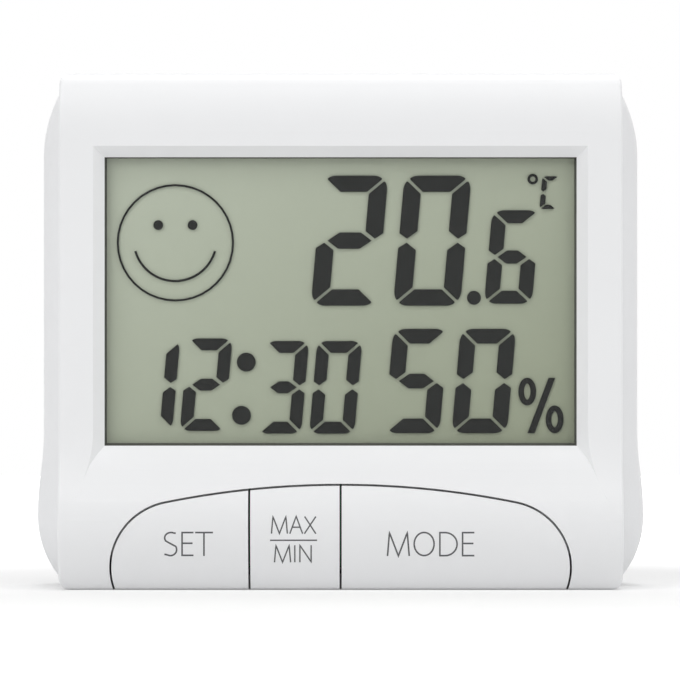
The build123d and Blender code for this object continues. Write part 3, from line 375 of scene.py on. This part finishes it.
def digit(mark, x0, x1, z0, z1, level, upright, gap=0.35):
    """Seven-segment outlines that fill the box and lean; level and upright are the bars' widths."""
    height = z1 - z0
    width = x1 - x0 - height * LEAN
    middle = height / 2
    slip = gap * DIAGONAL
    corner = upright * CORNER_SHARE
    dip = corner * (1 - math.cos(math.radians(45)))
    bow = [(corner - corner * math.cos(math.radians(t)), corner - corner * math.sin(math.radians(t)))
           for t in BOW_TURNS]
    cap = [(x, height - z) for x, z in bow]
    side = [(z, height - x) for x, z in bow]
    top = [(upright + slip, height - level), (dip + slip, height - dip)] + cap
    top += [(width - x, z) for x, z in reversed(cap)]
    top += [(width - dip - slip, height - dip), (width - upright - slip, height - level)]
    left = [(upright, height - level - slip), (dip, height - dip - slip)] + side
    left += [(0.0, middle + slip + upright * TIP_DROP), (upright * TIP_IN, middle + slip)]
    left += [(upright, middle + slip + upright * TIP_BACK)]
    shoulder = upright / 2 + slip + level * BAR_SHOULDER
    bar = [(upright / 2 + slip, middle), (shoulder, middle + level / 2)]
    bar += [(width - x, z) for x, z in reversed(bar)]
    bar += [(width - shoulder, middle - level / 2), (shoulder, middle - level / 2)]
    forms = {
        "a": top,
        "f": left,
        "g": bar,
        "b": [(width - x, z) for x, z in left],
        "d": [(x, height - z) for x, z in top],
        "e": [(x, height - z) for x, z in left],
        "c": [(width - x, height - z) for x, z in left],
    }
    return [[(x0 + x + z * LEAN, z0 + z) for x, z in forms[s]] for s in SEGMENTS[mark]]


EYE = Vector((CAMERA_X, FACE_Y - CAMERA_DISTANCE, MIDDLE_Z))


def sight(x, z):
    """The way from the eye to a place on the face plane, given in millimetres."""
    return Vector((x * MM + PICTURE_SHIFT + CAMERA_X, FACE_Y, z * MM)) - EYE


def placed(x, z, y):
    """Where the line of sight through that place meets the plane at depth y."""
    way = sight(x, z)
    return EYE + way * ((y - EYE.y) / way.y)


def flat_piece(name, outlines, back_y, thick):
    """Closed thin plates of the outlines whose backs stand at back_y."""
    mesh = bpy.data.meshes.new(name)
    form = bmesh.new()
    for outline in outlines:
        spots = [placed(x, z, back_y) for x, z in outline]
        rear = [form.verts.new(spot) for spot in spots]
        near = [form.verts.new(spot - Vector((0.0, thick, 0.0))) for spot in spots]
        form.faces.new(rear)
        form.faces.new(near[::-1])
        count = len(outline)
        for i in range(count):
            form.faces.new((near[i], near[(i + 1) % count], rear[(i + 1) % count], rear[i]))
    bmesh.ops.recalc_face_normals(form, faces=form.faces)
    form.to_mesh(mesh)
    form.free()
    piece = bpy.data.objects.new(name, mesh)
    scene.collection.objects.link(piece)
    return piece


def open_tray(node, name, material):
    """The front and the edges of a thin sheet that is stuck down at its back."""
    low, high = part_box(node)
    ring_points = [(low.x, low.z), (high.x, low.z), (high.x, high.z), (low.x, high.z)]
    corners = [(x, low.y, z) for x, z in ring_points] + [(x, high.y, z) for x, z in ring_points]
    sides = [(i, (i + 1) % 4, (i + 1) % 4 + 4, i + 4) for i in range(4)]
    mesh = bpy.data.meshes.new(name)
    mesh.from_pydata(corners, [], [(0, 1, 2, 3)] + sides)
    mesh.materials.append(material)
    piece = bpy.data.objects.new(name, mesh)
    scene.collection.objects.link(piece)
    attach(piece, "case")
    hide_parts(node)


open_tray("lcd_front_polariser", "front_film", film_clear)


def display_piece(name, outlines, ink=segment_ink):
    piece = flat_piece(name, outlines, IMAGE_Y - FILM_GAP, INK_THICK)
    piece.data.materials.append(ink)
    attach(piece, "case")
    return piece


def digits(rows, z0, z1, level, upright):
    """Digits of one height in a row, each with its mark, left and right."""
    forms = []
    for mark, x0, x1 in rows:
        forms += digit(mark, x0, x1, z0, z1, level, upright)
    return forms


temperature = digits([("2", -3.7, 6.04), ("0", 6.64, 16.5)], 35.7, 52.05, 2.06, 2.25)
temperature += disc(16.8, 36.7, 0.88)
temperature += digits([("6", 18.06, 25.1)], 35.95, 47.7, 1.64, 1.85)
display_piece("temperature_digits", temperature)
unit = digit("C", 25.02, 27.5, 47.84, 51.96, 0.54, 0.66, gap=0.2)
unit += ring(24.18, 51.6, 0.5, 0.5, 0.34)
display_piece("degree_unit", unit)
clock = digits([("1", -23.93, -20.1)], 20.1, 31.4, 1.5, 1.6)
clock += digits([("2", -20.15, -13.52)], 19.98, 31.6, 1.5, 1.6)
clock += disc(-11.8, 28.62, 1.19) + disc(-12.4, 21.94, 1.19)
clock += digits([("3", -10.36, -3.9), ("0", -3.9, 2.78)], 19.64, 31.27, 1.5, 1.6)
display_piece("clock_digits", clock)
humidity = digits([("5", 5.52, 13.6), ("0", 13.98, 22.1)], 19.69, 32.8, 1.85, 2.0)
display_piece("humidity_digits", humidity)
percent = []
for x, z in ((23.49, 24.92), (26.93, 21.44)):
    percent += ring(x, z, 0.76, 1.38, 0.72)
percent.append([(23.51, 19.69), (24.42, 19.69), (27.0, 26.64), (26.16, 26.64)])
display_piece("percent_sign", percent)
face = ring(-20.7, 43.6, 7.24, 7.24, 0.27)
for x in (-22.85, -18.54):
    face += disc(x, 45.83, 0.62)
face += ribbon(oval(-20.73, 44.0, 5.2, 5.2, 196.0, 344.0, 32), 0.3)
display_piece("comfort_face", face)
# Painted shade: a dark ribbon laid round the window's edge on the display, standing in for the shaded gap
# between rim and display
window_edge_shade_outline = [(-29.5, 18.26), (29.6, 18.26), (29.6, 54.4), (-29.5, 54.4)]
display_piece("display_edge_shade", ribbon(window_edge_shade_outline, 0.42, closed=True), edge_shade_ink)


# Button labels laid on the caps

STEP = 0.35
STROKE = 0.2
FINE_STROKE = 0.17


def wrapped(node, name, lines, width, body):
    """Strokes laid on the front of a node's surface."""
    holder = nodes[node]
    mesh = holder.data
    tree = BVHTree.FromPolygons([v.co for v in mesh.vertices], [p.vertices for p in mesh.polygons])
    form = bmesh.new()
    for line in lines:
        for quad in ribbon(divided(line, STEP), width):
            near, rear = [], []
            for x, z in quad:
                spot, normal, _, _ = tree.ray_cast(EYE, sight(x, z).normalized())
                if normal.y > 0:
                    normal = -normal
                near.append(form.verts.new(spot + normal * INK_RISE))
                rear.append(form.verts.new(spot + normal * (INK_RISE - INK_THICK)))
            form.faces.new(near)
            form.faces.new(rear[::-1])
            for i in range(4):
                j = (i + 1) % 4
                form.faces.new((near[j], near[i], rear[i], rear[j]))
    bmesh.ops.recalc_face_normals(form, faces=form.faces)
    data = bpy.data.meshes.new(name)
    form.to_mesh(data)
    form.free()
    piece = bpy.data.objects.new(name, data)
    scene.collection.objects.link(piece)
    data.materials.append(label_ink)
    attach(piece, body)
    return piece


def letter_e(x0, x1, z0, z1):
    middle = z0 + (z1 - z0) * 0.53
    return [[(x1, z1), (x0, z1), (x0, z0), (x1, z0)], [(x0, middle), (x0 + (x1 - x0) * 0.92, middle)]]


def letter_m(x0, x1, z0, z1):
    width = x1 - x0
    return [[(x0, z0), (x0 + width * 0.09, z1), ((x0 + x1) / 2, z0), (x1 - width * 0.09, z1), (x1, z0)]]


letter_s = [(-20.65, 7.13)] + oval(-21.25, 6.55, 0.8, 0.68, 62.0, 215.0, 10)
letter_s += [(-21.45, 5.9), (-21.0, 5.66)]
letter_s += oval(-21.32, 5.08, 0.78, 0.76, 32.0, -118.0, 10) + [(-22.08, 4.5)]
set_lines = [letter_s] + letter_e(-19.86, -18.43, 4.36, 7.22)
set_lines += [[(-18.22, 7.22), (-15.98, 7.22)], [(-17.11, 7.22), (-17.11, 4.28)]]
wrapped("set_button", "set_label", set_lines, STROKE, "set_key")
max_lines = letter_m(-8.63, -6.64, 7.09, 9.23)
max_lines += [[(-6.33, 7.07), (-5.53, 9.25), (-4.72, 7.07)], [(-5.99, 7.89), (-5.05, 7.89)]]
max_lines += [[(-4.47, 9.23), (-3.06, 7.07)], [(-4.5, 7.07), (-3.06, 9.23)]]
max_lines += [[(-8.82, 6.25), (-2.91, 6.25)]]
max_lines += letter_m(-8.25, -6.23, 3.49, 5.61) + [[(-5.7, 5.63), (-5.7, 3.49)]]
max_lines += [[(-5.06, 3.49), (-5.06, 5.61), (-3.65, 3.54), (-3.65, 5.63)]]
wrapped("max_min_button", "max_min_label", max_lines, FINE_STROKE, "max_min_key")
mode_lines = letter_m(5.94, 8.67, 4.28, 7.22) + [oval(10.54, 5.78, 1.25, 1.45)]
mode_lines += [[(13.18, 7.21), (12.52, 7.21), (12.52, 4.32), (13.18, 4.32)]]
mode_lines += [oval(13.18, 5.765, 1.5, 1.445, -90.0, 90.0, 20)]
mode_lines += letter_e(15.37, 16.85, 4.32, 7.21)
wrapped("mode_button", "mode_label", mode_lines, STROKE, "mode_key")


# Floor, backdrop, light and camera

SHADOW_R = 60 * MM
FADE_R = 160 * MM
FLOOR_R = 0.5
FLOOR_SIDES = 96
FLOOR_GLOW = 0.1
FLOOR_TONES = (0.88, 0.88, 0.88), (0.9, 0.9, 0.9)
WORLD_LIGHT = 0.46
LAMPS = (
    ("key", (-0.6, -0.68, 0.72), 0.9, 4.0),
    ("top", (0.25, -0.3, 0.9), 0.7, 2.1),
    ("rim", (0.0, 0.3, 0.85), 0.5, 1.6),
    ("fill", (0.85, -0.4, 0.25), 0.9, 1.2),
)


def seen(tree, ray):
    """One for rays that show the surroundings, straight or by a mirror or glass, and nought for light."""
    total = None
    for kind in ("Is Camera Ray", "Is Glossy Ray", "Is Transmission Ray"):
        if total is None:
            total = ray.outputs[kind]
            continue
        either = tree.nodes.new("ShaderNodeMath")
        either.operation = "MAXIMUM"
        link(tree, total, either.inputs[0])
        link(tree, ray.outputs[kind], either.inputs[1])
        total = either.outputs["Value"]
    return total


def studio_floor(name, corners):
    """A plain white floor that keeps the object's shadow and fades to white further out."""
    mesh = bpy.data.meshes.new(name)
    mesh.from_pydata(corners, [], [tuple(range(len(corners)))])
    studio = bpy.data.objects.new(name, mesh)
    scene.collection.objects.link(studio)
    material = bpy.data.materials.new(name)
    material.use_nodes = True
    tree = material.node_tree
    shader = tree.nodes["Principled BSDF"]
    tone = spread(tree, speckle(tree, 20.0), 0.0, 1.0)
    link(tree, mixed(tree, tone, *FLOOR_TONES), shader.inputs["Base Color"])
    shader.inputs["Roughness"].default_value = 0.9
    shader.inputs["Specular IOR Level"].default_value = 0.0
    place = tree.nodes["Place"]
    away = tree.nodes.new("ShaderNodeVectorMath")
    away.operation = "LENGTH"
    link(tree, place.outputs["Object"], away.inputs[0])
    glow = spread(tree, away.outputs["Value"], FLOOR_GLOW, 1.0, SHADOW_R, FADE_R)
    ray = tree.nodes.new("ShaderNodeLightPath")
    lift = tree.nodes.new("ShaderNodeMath")
    lift.operation = "MULTIPLY"
    link(tree, glow, lift.inputs[0])
    link(tree, seen(tree, ray), lift.inputs[1])
    shader.inputs["Emission Color"].default_value = (1.0, 1.0, 1.0, 1.0)
    link(tree, lift.outputs["Value"], shader.inputs["Emission Strength"])
    mesh.materials.append(material)


turns = [math.tau * i / FLOOR_SIDES for i in range(FLOOR_SIDES)]
floor = [(FLOOR_R * math.cos(t), FLOOR_R * math.sin(t), cad_low.z) for t in turns]
studio_floor("floor", floor)


def lamp(name, spot, size, power):
    """A round soft lamp that looks at the middle of the object."""
    data = bpy.data.lights.new(name, "AREA")
    data.shape = "DISK"
    data.size = size
    data.energy = power
    holder = bpy.data.objects.new(name, data)
    holder.location = spot
    way = Vector((0.0, 0.0, MIDDLE_Z)) - Vector(spot)
    holder.rotation_euler = way.to_track_quat("-Z", "Y").to_euler()
    scene.collection.objects.link(holder)


for row in LAMPS:
    lamp(*row)

world = bpy.data.worlds.new("studio")
world.use_nodes = True
scene.world = world
sky = world.node_tree.nodes["Background"]
sky.inputs["Color"].default_value = (1.0, 1.0, 1.0, 1.0)
ray = world.node_tree.nodes.new("ShaderNodeLightPath")
power = spread(world.node_tree, seen(world.node_tree, ray), WORLD_LIGHT, 1.0, 0.0, 1.0)
link(world.node_tree, power, sky.inputs["Strength"])

camera_data = bpy.data.cameras.new("camera")
camera_data.sensor_width = SENSOR
camera_data.lens = SENSOR * CAMERA_DISTANCE / PICTURE_WIDTH
camera_data.clip_start = 10 * MM
camera = bpy.data.objects.new("camera", camera_data)
camera.location = EYE
camera.rotation_euler = (math.radians(90), 0.0, 0.0)
scene.collection.objects.link(camera)
bpy.context.scene.camera = camera
scene.view_settings.view_transform = "Standard"
